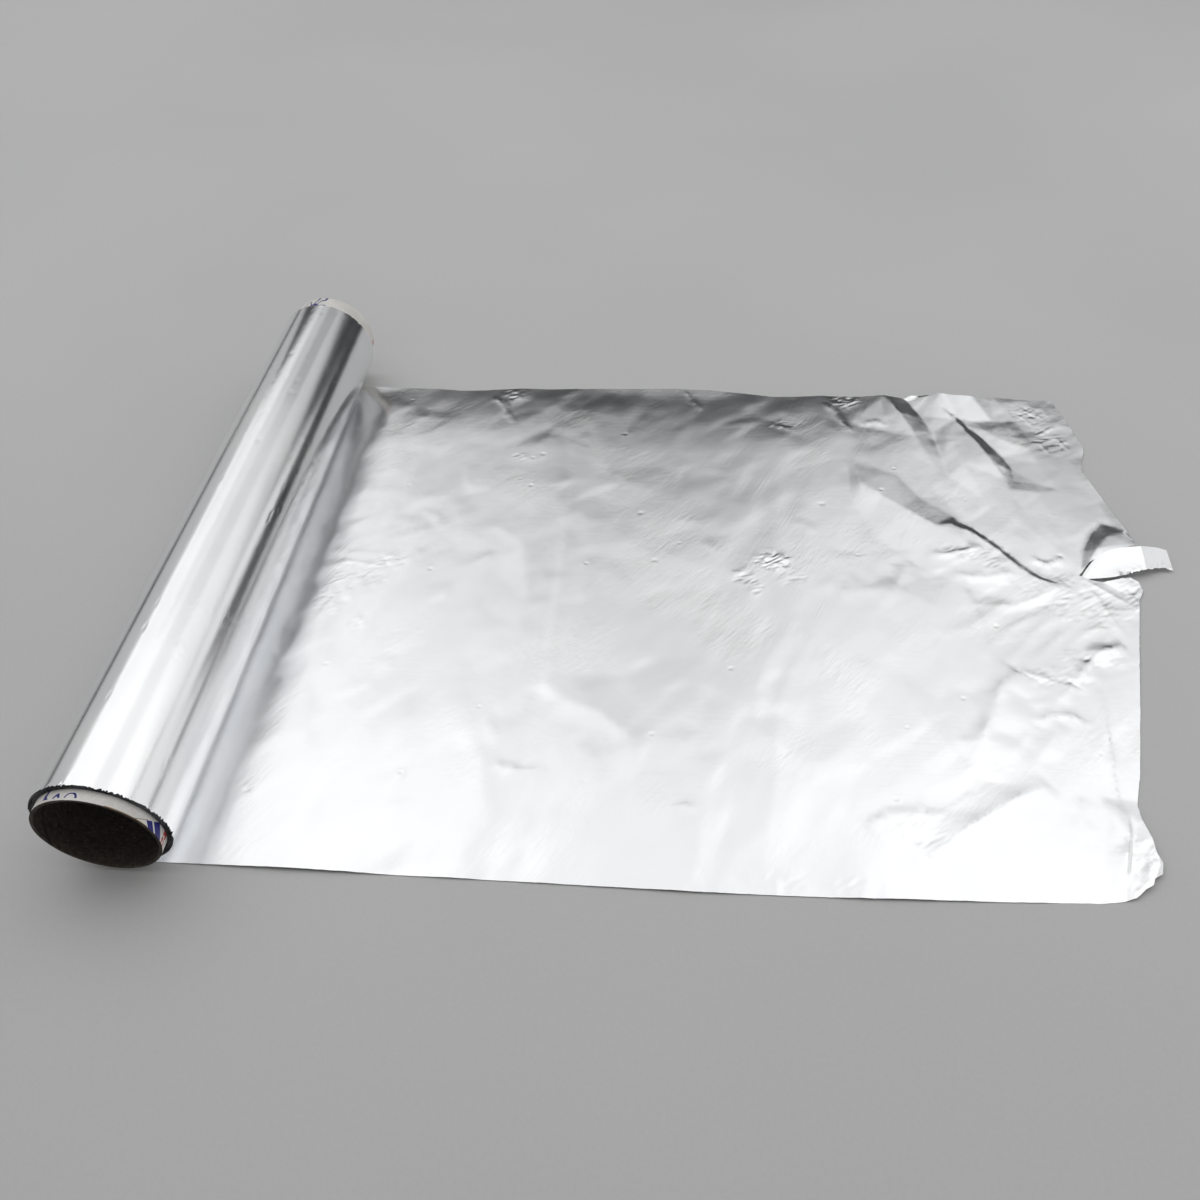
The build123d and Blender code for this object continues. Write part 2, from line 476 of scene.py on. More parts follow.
def flat_facets(x, y, spots, heights, joins=()):
    """Heights read off flat triangles between the spots, and nothing outside them."""
    order = np.argsort(x)
    sorted_x = x[order]
    total = np.zeros(len(x))
    for i, j, k in triangulated(spots, joins):
        (ax, ay), (bx, by), (cx, cy) = spots[i][:2], spots[j][:2], spots[k][:2]
        first, last = np.searchsorted(sorted_x, (min(ax, bx, cx), max(ax, bx, cx)))
        near = order[first:last]
        area = (bx - ax) * (cy - ay) - (by - ay) * (cx - ax)
        v = ((x[near] - ax) * (cy - ay) - (y[near] - ay) * (cx - ax)) / area
        w = ((bx - ax) * (y[near] - ay) - (by - ay) * (x[near] - ax)) / area
        inside = (v >= 0) & (w >= 0) & (v + w <= 1)
        facet = heights[i] * (1 - v - w) + heights[j] * v + heights[k] * w
        total[near[inside]] = facet[inside]
    return total


def net_height(x, y, lines, rim):
    """Heights of a net of fold lines that comes down to zero on its rim."""
    spots, joins = [], []
    for line in lines.values():
        joins += [(len(spots) + i, len(spots) + i + 1) for i in range(len(line) - 1)]
        spots += line
    spots += [(x, y, 0.0) for x, y in rim]
    return flat_facets(x, y, spots, [spot[2] for spot in spots], joins)


def fold_height(x, y):
    return net_height(x, y, FOLD_LINES, NET_RIM) + net_height(x, y, CORNER_LINES, CORNER_RIM)


print("on the second ridge", fold_height(np.array([335.3]), np.array([122.7])), "mm")

# %% [markdown]
# ## Creases
#
# The rest of the sheet has been bent and laid flat again. What is left of such a bend is a crest a few
# tenths of a millimetre high, too low to see as a shape, yet enough to tip the reflection. It is written
# as a line with its height, the width of the slope on each side, and how it fades at both ends. The two
# slopes differ, because the foil was pushed from one side.

# %% Creases: line, height, slope width to its left and right, and the shares of it that fade in and out
CREASES = [
    # around the tear
    ([(371, 11), (382, 2), (392, -8)], 0.35, 5, 6, 0.2, 0.5),
    ([(368, 8), (362, -6), (356, -24), (352, -40)], 0.30, 5, 7, 0.2, 0.6),
    ([(365, 6), (350, -3), (338, -8), (322, -8)], 0.45, 5, 8, 0.2, 0.5),
    ([(345, 2), (330, -12), (318, -22), (304, -26)], 0.25, 6, 9, 0.2, 0.5),
    ([(374, 6), (379, -12), (383, -26)], 0.25, 4, 5, 0.2, 0.5),
    ([(332, 28), (318, 22), (306, 22)], 0.45, 7, 5, 0.2, 0.5),
    ([(343, 12), (330, 8), (316, 10)], 0.40, 5, 6, 0.2, 0.5),
    ([(352, 22), (359, 18), (367, 22)], 0.5, 4, 4),
    ([(324, 60), (322, 30), (320, 4), (324, -18), (324, -38)], 0.16, 3, 6),
    # wrinkles of the far corner
    ([(370, 137), (376, 131), (381, 128)], 0.17, 1.3, 2.0),
    ([(372, 122), (377, 127), (381, 134)], 0.13, 1.2, 1.6),
    ([(366, 131), (371, 128), (374, 121)], 0.12, 1.4, 2.0),
    ([(374, 113), (379, 116.5), (384, 121)], 0.24, 1.3, 2.2),
    ([(374, 108), (376, 103), (377, 99)], 0.13, 1.2, 1.6),
    ([(382, 103), (386, 108), (389, 110)], 0.14, 1.3, 1.8),
    ([(384, 112), (386, 106), (387.5, 102)], 0.14, 1.3, 1.8),
    # lower half of the torn end
    ([(334, -44), (326.5, -53), (321, -65), (316, -76), (312.5, -98)], 1.1, 14, 9, 0.2, 0.4),
    ([(334, -44), (344, -48), (354, -52)], 0.28, 5, 5, 0.1, 0.5),
    ([(355, -50), (361.8, -41.5), (368.4, -33.4), (380, -28)], 0.8, 6, 7, 0.2, 0.2),
    ([(355, -50), (346, -60), (338, -72)], 0.4, 6, 7, 0.1, 0.5),
    ([(336, -69.5), (344, -66.5), (351, -66.5), (357, -71)], 0.30, 3, 7),
    ([(286, -133), (304.4, -118), (320, -107), (334, -99)], 0.9, 9, 11, 0.4, 0.3),
    ([(265, -122), (275, -115), (294, -114), (306, -104)], 0.35, 3.5, 14, 0.1, 0.6),
    ([(345, -70), (338, -82), (328, -94)], 0.3, 6, 6, 0.3, 0.5),
    ([(364, -52), (362.5, -66), (359.6, -86), (357.2, -104), (353, -122)], 0.4, 3.5, 4, 0.2, 0.3),
    ([(345, -104), (342, -116), (337, -130)], 0.3, 6, 4),
    # middle of the sheet
    ([(141.3, 66), (140.5, 36), (142, 4), (141.4, -30), (142.8, -66)], 0.13, 7, 2.2, 0.3, 0.2),
    (
        [(142.8, -60), (152.4, -70), (167, -76.8), (178.8, -87), (183, -103), (182, -132)],
        0.42, 17, 10, 0.25, 0.3,
    ),
    ([(253, -30), (243, -49), (237.5, -63), (233.8, -103), (228, -140)], 0.30, 12, 12, 0.3, 0.2),
    ([(243, 90), (240, 46), (239, 4), (246, -26)], 0.12, 8, 8, 0.4, 0.4),
    ([(247.4, 41.6), (253, 39), (257.8, 33)], 0.22, 4, 6, 0.3, 0.4),
    ([(257.8, 2), (268, -4), (282, -1.5), (289, 4)], 0.42, 12, 9),
    ([(286, -11), (291, 2), (297.4, 14), (297, 24)], 0.40, 8, 6, 0.2, 0.4),
    ([(202, -34), (209, -18), (216, -2), (220, 10)], 0.16, 2.4, 3.4, 0.4, 0.3),
    ([(190, -64), (203, -50), (214, -30)], 0.12, 4, 4, 0.4, 0.4),
    ([(127, -101.8), (137.6, -104.7), (148, -103)], 0.30, 3, 6, 0.3, 0.4),
    ([(55, -72), (63, -68), (70.7, -63.5)], 0.22, 4, 7),
    ([(111, -69), (114, -86), (123, -104), (129, -128)], 0.20, 7, 11),
    ([(84, -60), (88, -90), (93, -130)], 0.16, 12, 8),
    ([(40, -20), (42, -60), (38, -100)], 0.20, 10, 12),
    ([(32, 13), (44, 10.5), (56, 11), (70, 8)], 0.16, 2.4, 3.5, 0.2, 0.4),
    ([(31, 1), (44, 5), (58, 3), (70, 8)], 0.14, 2.6, 2.4, 0.2, 0.4),
    ([(48, -14), (54, -4), (58, 6), (62, 14)], 0.16, 2.6, 3),
    ([(88, 2), (92, 22), (94, 44), (100, 70)], 0.12, 3.5, 6, 0.4, 0.4),
    ([(98, 28), (108, 32), (118, 24), (126, 14)], 0.14, 6, 5, 0.4, 0.4),
    ([(70, 42), (78, 38), (84, 28)], 0.18, 4, 5),
    ([(86, 80), (90, 60), (92, 50)], 0.12, 4, 3, 0.4, 0.4),
    ([(102, 76), (98, 60), (96, 50)], 0.12, 3, 4, 0.4, 0.4),
    ([(56, 98), (66, 106), (74, 120)], 0.14, 3.5, 5, 0.4, 0.4),
    ([(91, 138), (97.5, 131), (101, 121), (104.4, 113)], 0.26, 1.8, 3, 0.2, 0.3),
    ([(126, 62), (138, 66), (150, 70)], 0.14, 5, 4, 0.4, 0.4),
    ([(139, 88), (141, 98), (145, 106)], 0.20, 3, 4),
    ([(120, 92), (127, 106), (132, 116)], 0.16, 5, 6, 0.4, 0.4),
    ([(180, 86), (190, 104), (198, 122), (201, 134)], 0.12, 3.4, 5, 0.4, 0.3),
    ([(195, 149), (199, 140), (204, 130)], 0.24, 1.8, 2.6, 0.1, 0.3),
    ([(213, 114), (224, 118), (236, 120)], 0.13, 4, 6, 0.3, 0.4),
    ([(240, 118), (247, 114), (254, 112)], 0.14, 3, 4, 0.3, 0.4),
    ([(269, 138), (274, 131), (277, 121), (281, 112)], 0.30, 1.8, 3, 0.2, 0.3),
    ([(286, 118), (294, 121), (300, 117)], 0.30, 4, 4, 0.3, 0.4),
    ([(206, 26), (211, 22), (216, 14)], 0.12, 2.4, 3.2),
]
print("creases", len(CREASES))


# %% The height of one crease
SLOPE_RUNS_OUT = 1.6
WIDTH_CHANGES = 0.25
WIDTH_CHANGES_OFTEN = 17.0


def beside_line(x, y, line):
    """Distance from a line of points, which side of it, and the share of its length reached."""
    best = np.full(len(x), 1e9)
    side = np.zeros(len(x))
    along = np.zeros(len(x))
    lengths = [math.dist(a, b) for a, b in zip(line, line[1:])]
    done = 0.0
    for (ax, ay), (bx, by), length in zip(line, line[1:], lengths):
        ux, uy = (bx - ax) / length, (by - ay) / length
        held = np.clip((x - ax) * ux + (y - ay) * uy, 0, length)
        dx, dy = x - ax - held * ux, y - ay - held * uy
        distance = np.hypot(dx, dy)
        nearer = distance < best
        best = np.where(nearer, distance, best)
        side = np.where(nearer, ux * dy - uy * dx, side)
        along = np.where(nearer, (done + held) / sum(lengths), along)
        done += length
    return best, side, along


def crease_height(x, y, line, height, left, right, fade_in=0.3, fade_out=0.3):
    """A low tent along the line, with a sharp crest and slopes that run out softly."""
    distance, side, along = beside_line(x, y, line)
    change = 1 + WIDTH_CHANGES * np.sin(along * WIDTH_CHANGES_OFTEN + line[0][0])
    reach = np.where(side > 0, left, right) * change
    slope = np.clip(1 - distance / reach, 0, 1) ** SLOPE_RUNS_OUT
    start = np.clip(along / fade_in, 0, 1)
    end = np.clip((1 - along) / fade_out, 0, 1)
    return height * slope * np.sqrt(start * end)


print("on the first crease", crease_height(np.array([382.0]), np.array([2.0]), *CREASES[0]), "mm")

# %% [markdown]
# ## Crumples, dents and slow waves
#
# A crumple is a patch where fingers pinched the foil. Up close it is a little net of flat facets with
# sharp ridges between them, so both are added: the facets from spots strewn at random with heights of
# their own, and the ridges from one minus the size of a noise. A wide crumple with large facets and
# little height is a patch that was flattened again by hand. A dent is a single small pit. Noise alone
# could make all of this, but foil never looks like noise: it looks like many small mirrors.
#
# Under it all lie slow waves, longer along the roll's axis than across it, because the foil remembers
# being wound, and two very low nets of facets that cover the whole sheet. All of it dies away near the
# roll, where the sheet must lie snug under the last turn, and both long edges curl down to the table.

# %% Crumpled patches: x, y, half width, half depth, height and the size of a facet, in millimetres
CRUMPLES = [
    (237, 14, 7.5, 5.2, 0.46, 2.1), (224, 3, 5, 5, 0.26, 2.6), (229, -4, 4, 4, 0.20, 2.6),
    (102, 142, 5, 6, 0.28, 2.6), (280, 141, 7, 6, 0.36, 2.6), (64, 6, 7, 4, 0.18, 2.6),
    (52, -2, 12, 8, 0.13, 2.6), (42, -16, 8, 11, 0.12, 2.6), (246, 117, 6, 4, 0.16, 2.6),
    (374, 130, 9, 9, 0.12, 2.6), (379, 110, 8, 10, 0.12, 2.6), (359, -131, 6, 11, 0.16, 2.6),
    (360, 2, 20, 10, 0.14, 2.6), (374, -8, 16, 10, 0.12, 2.6), (366, -36, 12, 5, 0.18, 2.6),
    (57, -32, 5, 5, 0.12, 2.6), (393, 3, 6, 10, 0.30, 2.6), (112, 84, 4, 3, 0.16, 2.6),
    (205, 148, 16, 4, 0.16, 2.6), (350, -47, 12, 6, 0.14, 2.6), (200, -117, 4, 2, 0.2, 2.6),
    (236, -145, 9, 4, 0.12, 3.2), (262, -145, 12, 4, 0.12, 3.2), (246, 4, 7, 5, 0.12, 2.6),
    (60, 118, 8, 4, 0.10, 2.6), (284, -124, 10, 6, 0.12, 2.6), (334, 20, 8, 6, 0.18, 2.6),
    (322, 24, 10, 5, 0.16, 2.6), (360, -20, 34, 26, 0.36, 10), (338, 10, 26, 22, 0.16, 9),
    (60, 20, 30, 40, 0.14, 9), (372, 118, 18, 24, 0.22, 7),
]
print("crumples", len(CRUMPLES))

# %% Dents: x and y in millimetres
DENTS = [
    (115, 86), (119, 84), (124, 87), (115, 67), (121, 62), (117, 56), (153, 9), (184, 12), (195, 24),
    (218, -50), (222, -56), (187, -85), (35, -119), (117, -75), (49, -56), (24, -89), (278, -109),
    (283, -126), (286, -76), (291, 65), (289, 57), (299, 82), (165, 106), (219, 145), (82, 2), (103, 24),
    (46, 134), (262, 54), (357, -84), (366, 24), (368, 51), (24, 50), (27, 28), (92, -108), (310, -60),
    (330, 60), (276, 20), (176, 44), (60, 60), (330, -20), (150, -40),
]
print("dents", len(DENTS))


# %% Heights of crumples and dents
DENT_WIDTH = 0.95
DENT_DEPTH = 0.11
DENT_LIP = 0.3
CRUMPLE_SEED = 40
CRUMPLE_LEAN = -30
CRUMPLE_STRETCH = 1.7
RIDGE_SHARPNESS = 2.4


def leaned(x, y, degrees):
    """Places counted along and across a direction that leans by some degrees."""
    c, s = math.cos(math.radians(degrees)), math.sin(math.radians(degrees))
    return x * c + y * s, y * c - x * s


def noise_field(x, y, x_size, y_size, layer, lean=0.0):
    """Smooth noise whose grains have these sizes and lean by some degrees."""
    u, v = leaned(x, y, lean)
    return np.array([noise.noise(Vector((pu / x_size, pv / y_size, layer))) for pu, pv in zip(u, v)])


def sharp_ridges(*field):
    """One on the crests, below zero in the valleys."""
    return 1 - RIDGE_SHARPNESS * np.abs(noise_field(*field))


def strewn_facets(u, v, reach, size, seed, nudge, height):
    """Flat facets between strewn spots, each spot with a height of its own."""
    spots = strewn(*reach, size, seed, nudge)
    heights = np.random.default_rng(seed).uniform(-height, height, len(spots))
    return flat_facets(u, v, spots, heights)


def crumple_height(x, y):
    """Patches where the foil was crushed: sharp little facets, longer along the slant."""
    total = np.zeros(len(x))
    for n, (cx, cy, wide, deep, height, facet) in enumerate(CRUMPLES):
        near = ((x - cx) / wide) ** 2 + ((y - cy) / deep) ** 2
        inside = near < 2.0
        if inside.any():
            px, py = x[inside], y[inside]
            u, v = leaned(px - cx, py - cy, CRUMPLE_LEAN)
            reach = 1.5 * max(wide, deep)
            square = (-reach, reach, -reach, reach)
            facets = strewn_facets(u, v / CRUMPLE_STRETCH, square, facet, CRUMPLE_SEED + n, 0.4, 1)
            ridges = sharp_ridges(px, py, 2.5 * facet, 0.85 * facet, 20.0 + n, 32.0)
            fading = np.clip(1 - near[inside] / 2, 0, 1)
            total[inside] += height * fading * (0.55 * facets + 0.75 * ridges)
    return total


def dent_depth(x, y):
    """Pits of five sizes, each with a low lip round it."""
    total = np.zeros(len(x))
    for n, (cx, cy) in enumerate(DENTS):
        size = DENT_WIDTH * (0.6 + 0.2 * (n * 7 % 5))
        near = np.hypot(x - cx, (y - cy) * 1.3) / size
        total -= DENT_DEPTH * np.exp(-near**2) - DENT_LIP * DENT_DEPTH * np.exp(-((near - 1.6) ** 2) * 2)
    return total


print("in the first dent", dent_depth(np.array([115.0]), np.array([86.0])), "mm")


# %% Low facets and slow waves all over the sheet
# size of a facet, how much longer it is than wide, lean in degrees, height and seed
FACET_NETS = [(17, 1.9, -22, 0.30, 11), (8, 1.8, -32, 0.16, 12)]
# field, height, how much of it reaches the near half, then the field's sizes along x and y, layer and lean
WAVES = {
    "billow": (noise_field, 0.55, 1, (74, 120, 1.0)),
    "memory of the roll": (noise_field, 0.16, 1, (22, 190, 2.0)),
    "lumps": (noise_field, 0.16, 0, (17, 26, 4.0, -28)),
    "long ridges": (sharp_ridges, 0.07, 0.35, (13, 34, 6.0, -30)),
    "short ridges": (sharp_ridges, 0.03, 0.4, (6.0, 15, 7.0, -34)),
}


def broken_facets(x, y):
    """Small flat facets all over, longer along the slant in which the foil was rubbed."""
    total = np.zeros(len(x))
    for size, stretch, lean, height, seed in FACET_NETS:
        u, v = leaned(x, y, lean)
        v = v / stretch
        reach = (u.min() - size, u.max() + size, v.min() - size, v.max() + size)
        total += strewn_facets(u, v, reach, size, seed, 0.36, height)
    return total


def slow_waves(x, y):
    """The waves added up; the smaller ones grow towards the far half."""
    total = np.zeros(len(x))
    far_half = np.clip((y + 40) / 140, 0.12, 1.0)
    for field, height, near_share, sizes in WAVES.values():
        total += height * field(x, y, *sizes) * (near_share + (1 - near_share) * far_half)
    return total


print("facet nets", len(FACET_NETS), "waves", len(WAVES))

# %% How the sheet lies, and everything added up
# across the web, from the near edge, which curls down, to the far edge, which droops
NEAR_EDGE_Y = -150
NEAR_LIES = 1.7
NEAR_CURL = NEAR_LIES - 0.5
CURL_STARTS = -135
CURL_WIDTH = 15
CURL_WANDERS = 9
RISE_TO_DROOP = 1.1
DROOP_STARTS = 92
DROOP_ENDS = 148
DROOP = 3.1
# along the web, from the roll to the torn end, which settles on the table
HELD_UNTIL = 4
FREE_AFTER = 29
SETTLES_FROM = 270
SETTLES_OVER = 90
SETTLED_SHARE = 0.8
DROOP_STOPS_FROM = 300
DROOP_STOPS_OVER = 12
# how tight the rounded corners are
TABLE_SHARPNESS = 5
HELD_SHARPNESS = 14


def soft_floor(value, sharpness):
    """The value where it is above zero, and zero below, with a rounded corner between."""
    return np.logaddexp(0, value * sharpness) / sharpness


def lying_height(x, y):
    """How the sheet lies if nothing were bent: clear of the table, both long edges curling down."""
    rise = RISE_TO_DROOP * np.clip((y - NEAR_EDGE_Y) / (DROOP_STARTS - NEAR_EDGE_Y), 0, 1)
    drooping = 1 - np.clip((x - DROOP_STOPS_FROM) / DROOP_STOPS_OVER, 0, 1)
    past_start = np.clip((y - DROOP_STARTS) / (DROOP_ENDS - DROOP_STARTS), 0, 1.05)
    droop = DROOP * past_start**1.7 * drooping
    wandering = CURL_WANDERS * noise_field(x, y, 60, 60, 3.0)
    near_curl = NEAR_CURL * np.clip((CURL_STARTS - y + wandering) / CURL_WIDTH, 0, 1) ** 2
    settled = 1 - SETTLED_SHARE * np.clip((x - SETTLES_FROM) / SETTLES_OVER, 0, 1)
    return NEAR_LIES * settled + rise * settled - droop - near_curl


def sheet_height(x, y):
    height = lying_height(x, y) + slow_waves(x, y) + broken_facets(x, y) + fold_height(x, y)
    height += crumple_height(x, y) + dent_depth(x, y)
    for crease in CREASES:
        height += crease_height(x, y, *crease)
    off_roll = np.clip((x - HELD_UNTIL) / FREE_AFTER, 0, 3)
    return soft_floor(height, TABLE_SHARPNESS) * (1 - soft_floor(1 - off_roll, HELD_SHARPNESS))


print("before any fold the sheet lies up to", NEAR_LIES + RISE_TO_DROOP, "mm above the table")

# %% [markdown]
# ## Cutting and lifting the sheet
#
# A plain grid would waste most of its faces on calm foil and still be too coarse for the pinched spots.
# Instead points are strewn at three spacings, wide over the calm part, close over the torn end, closest
# in the crumples, and a constrained triangulation joins them with the outline and with the crest lines,
# so that a crest is an edge of the mesh and stays sharp. Then each point is lifted to its height, and a
# thin solid skin turns the surface into real foil.

# %% Points strewn over the sheet
CALM_STEP = 2.3
TORN_END_STEP = 1.45
FINE_STEP = 0.72
TORN_END_X = 288
SHEET_END_X = 402
FINE_FROM_HEIGHT = 0.12
FINE_BELOW_FACET = 4


def needs_fine_points(points):
    """Which points lie in a crumple or a dent that would be lost between wider ones."""
    x, y = points[:, 0], points[:, 1]
    hit = np.zeros(len(points), bool)
    for cx, cy, wide, deep, height, facet in CRUMPLES:
        if height >= FINE_FROM_HEIGHT and facet < FINE_BELOW_FACET:
            hit |= ((x - cx) / wide) ** 2 + ((y - cy) / deep) ** 2 < 1.3
    for cx, cy in DENTS:
        hit |= np.hypot(x - cx, y - cy) < 2.4 * DENT_WIDTH
    return hit


def sheet_points():
    calm = strewn(0.8, TORN_END_X, -150, 151.5, CALM_STEP, 1)
    torn = strewn(TORN_END_X, SHEET_END_X, -147, 149, TORN_END_STEP, 2)
    fine = strewn(20, SHEET_END_X, -147, 150, FINE_STEP, 3)
    return np.concatenate([
        calm[~needs_fine_points(calm)], torn[~needs_fine_points(torn)], fine[needs_fine_points(fine)],
    ])


strew = sheet_points()
print("strewn points", len(strew))


# %% Rows of points along folds and creases
RUN_STEP = 1.2
RUN_TO_EDGE = 0.9
RUN_TO_RUN = 0.8
SHARP_SLOPE = 0.07


def inside_outline(points, edge):
    """Which points have an odd number of edges to their right."""
    x, y = points[:, 0], points[:, 1]
    inside = np.zeros(len(points), bool)
    for (ax, ay), (bx, by) in zip(edge, edge[1:] + edge[:1]):
        if ay != by:
            crossed = ((ay > y) != (by > y)) & (x < (bx - ax) * (y - ay) / (by - ay) + ax)
            inside ^= crossed
    return inside


def clear_of(points, fixed, gap):
    """Points no nearer than gap to any fixed one."""
    cells = {}
    for px, py in fixed:
        cells.setdefault((int(px // gap), int(py // gap)), []).append((px, py))
    kept = []
    for px, py in points:
        cx, cy = int(px // gap), int(py // gap)
        around = (q for i in (-1, 0, 1) for j in (-1, 0, 1) for q in cells.get((cx + i, cy + j), ()))
        if all((px - qx) ** 2 + (py - qy) ** 2 >= gap * gap for qx, qy in around):
            kept.append((px, py))
    return kept


def crease_runs(edge):
    """Rows of points along the folds and the sharper creases, so that they become edges of the mesh."""
    sharp = [[p[:2] for p in line] for line in [*FOLD_LINES.values(), *CORNER_LINES.values()]]
    sharp += [
        line for line, height, left, right, *_ in CREASES if height / min(left, right) > SHARP_SLOPE
    ]
    runs = []
    for line in sharp:
        run = walk(line, RUN_STEP) + [line[-1]]
        on_sheet = inside_outline(np.array(run), edge)
        kept = clear_of([p for p, ok in zip(run, on_sheet) if ok], edge, RUN_TO_EDGE)
        kept = clear_of(kept, [q for other in runs for q in other], RUN_TO_RUN)
        if len(kept) > 2:
            runs.append(kept)
    return runs


crest_runs = crease_runs(outline)
print("crests that become edges", len(crest_runs))


# %% Triangulate
POINT_TO_EDGE = 0.7
POINT_TO_RUN = 0.75
LONGEST_JOIN = 2.5


def cut_sheet(runs):
    """The flat sheet's points and triangles."""
    on_creases = [p for run in runs for p in run]
    on_sheet = strew[inside_outline(strew, outline)]
    free = clear_of(clear_of(on_sheet, outline, POINT_TO_EDGE), on_creases, POINT_TO_RUN)
    count = len(outline)
    joins = [(i, (i + 1) % count) for i in range(count)]
    start = count
    for run in runs:
        for i, (here, after) in enumerate(zip(run, run[1:])):
            if math.dist(here, after) < LONGEST_JOIN:
                joins.append((start + i, start + i + 1))
        start += len(run)
    flat = [Vector(p) for p in outline + on_creases + free]
    points, _, faces, *_ = geometry.delaunay_2d_cdt(flat, joins, [], 1, 1e-6)
    return np.array([p[:] for p in points]), faces


flat_points, sheet_faces = cut_sheet(crest_runs)


# %% A thin solid from a surface
SHARPEST_SMOOTH = 50


def solid_skin(name, top, faces, materials):
    """A closed thin solid: the top, the same faces below it, and a rim between them."""
    count = len(top)
    below = top - np.array([0, 0, FOIL_SKIN])
    edges = dict.fromkeys((a, b) for face in faces for a, b in zip(face, [*face[1:], face[0]]))
    rim = [(b, a, a + count, b + count) for a, b in edges if (b, a) not in edges]
    under = [tuple(v + count for v in reversed(face)) for face in faces]
    mesh = bpy.data.meshes.new(name)
    mesh.from_pydata(np.concatenate([top, below]).tolist(), [], [*map(tuple, faces), *under, *rim])
    for material in materials:
        mesh.materials.append(material)
    mesh.polygons.foreach_set("material_index", [0] * len(faces) + [1] * len(under) + [0] * len(rim))
    mesh.polygons.foreach_set("use_smooth", [True] * len(mesh.polygons))
    mesh.set_sharp_from_angle(angle=math.radians(SHARPEST_SMOOTH))
    mesh.update()
    return add_object(name, mesh)


print("skin", FOIL_SKIN / MM, "mm thick")


# %% Lift the sheet and give it its skin
def lift(points):
    x, y = points[:, 0], points[:, 1]
    z = sheet_height(x, y)
    return np.stack([x * MM, y * MM, FLOOR_Z + z * MM], 1)


lifted = lift(flat_points) + np.array([0, 0, FOIL_SKIN])
free_sheet = solid_skin("free_sheet", lifted, sheet_faces, (SATIN_FOIL, BRIGHT_FOIL))
print("free sheet", len(free_sheet.data.polygons), "faces, highest", lifted[:, 2].max() - FLOOR_Z)

# %% [markdown]
# ## The torn strip
#
# Where the sheet tore, a finger-wide ribbon came loose. It is still held at the tip of the tear, arches
# up and curls down past the sheet's end. A ribbon bent by one formula would look too regular, so its two
# edges are given at nine stations and smooth curves run through them. The two sides are what make it read
# as torn: the slit side is clean, and the other side hangs in teeth where the foil stretched before it
# let go.

# %% The strip's two edges, as x, y and height in millimetres at shares of its length
# x and y are where the viewer sees the edge against the sheet; the next cell brings it up to its height
STRIP_STATIONS = [0, 0.12, 0.25, 0.40, 0.55, 0.70, 0.82, 0.92, 1.0]
STRIP_LOWER_EDGE = [
    (372, 9.9, 0.9), (376, 10.6, 1.2), (381, 11.2, 1.7), (387.5, 12.5, 2.3), (394, 14.8, 3.2),
    (400.5, 17.2, 4.0), (405, 18.4, 4.1), (409.5, 18.9, 4.0), (413.3, 17.4, 3.5),
]
STRIP_UPPER_EDGE = [
    (372.6, 11.6, 1.0), (376.5, 17.5, 3.0), (382, 24.3, 5.2), (388.5, 29.2, 7.0), (395.5, 31.6, 8.0),
    (402, 32.6, 8.4), (406.5, 32.7, 8.2), (410.8, 32, 7.4), (414.2, 30.5, 6.3),
]
STRIP_BEND = 0.74
STRIP_FALL = 9.0
STRIP_LOWEST = 0.6
SHEET_TOP = 1
print("stations along the strip", len(STRIP_STATIONS))


# %% Bring the strip's edges up to their heights
def strip_fall(along):
    """How far the strip has curled down, past its bend."""
    return STRIP_FALL * max(0.0, along - STRIP_BEND)


def raised(edge):
    """Moves each point along the line to the camera, to the nearest tenth of a millimetre."""
    eye_x, eye_y, eye_height = (CAMERA_PLACE - Vector((0, 0, FLOOR_Z))) / MM
    points = []
    for (x, y, height), along in zip(edge, STRIP_STATIONS):
        curled = max(height - strip_fall(along), STRIP_LOWEST)
        share = (eye_height - curled) / (eye_height - SHEET_TOP)
        x, y = eye_x + (x - eye_x) * share, eye_y + (y - eye_y) * share
        points.append((round(x, 1), round(y, 1), height))
    return points


strip_low, strip_high = raised(STRIP_LOWER_EDGE), raised(STRIP_UPPER_EDGE)
print("the strip's far end", strip_low[-1], strip_high[-1])


# %% The strip
STRIP_ROWS = 96
STRIP_COLUMNS = 16
STRIP_LENGTH = 43
STRIP_CROWN = 0.5
TORN_FROM = 0.35
TORN_DEPTH = 0.07


def eased(stations, values, at):
    """A smooth curve through values given at some stations."""
    slopes = np.gradient(values, stations)
    n = min(int(np.searchsorted(stations, at, "right")) - 1, len(stations) - 2)
    gap = stations[n + 1] - stations[n]
    t = (at - stations[n]) / gap
    start = (2 * t**3 - 3 * t**2 + 1) * values[n] + (t**3 - 2 * t**2 + t) * gap * slopes[n]
    return start + (3 * t**2 - 2 * t**3) * values[n + 1] + (t**3 - t**2) * gap * slopes[n + 1]


def strip_point(along, across):
    """A point of the ribbon: along and across run from 0 to 1, and the torn side is where across is 0."""
    low = [eased(STRIP_STATIONS, [p[k] for p in strip_low], along) for k in range(3)]
    high = [eased(STRIP_STATIONS, [p[k] for p in strip_high], along) for k in range(3)]
    torn = np.clip((along - TORN_FROM) / 0.2, 0, 1)
    reached = along * STRIP_LENGTH
    teeth = torn * (waver(reached, 0.0, 1.1, 31.0) + 0.8 * waver(reached, 0.0, 3.0, 32.0))
    share = across + (1 - across) ** 4 * teeth * TORN_DEPTH
    x, y, z = [a + (b - a) * share for a, b in zip(low, high)]
    z += STRIP_CROWN * math.sin(math.pi * across) * math.sin(math.pi * along)
    z -= strip_fall(along)
    z += 0.05 * waver(x, y, 3.5, 33.0) + 0.25 * torn * (1 - across) ** 3 * waver(x, y, 1.4, 34.0)
    return x * MM, y * MM, FLOOR_Z + z * MM


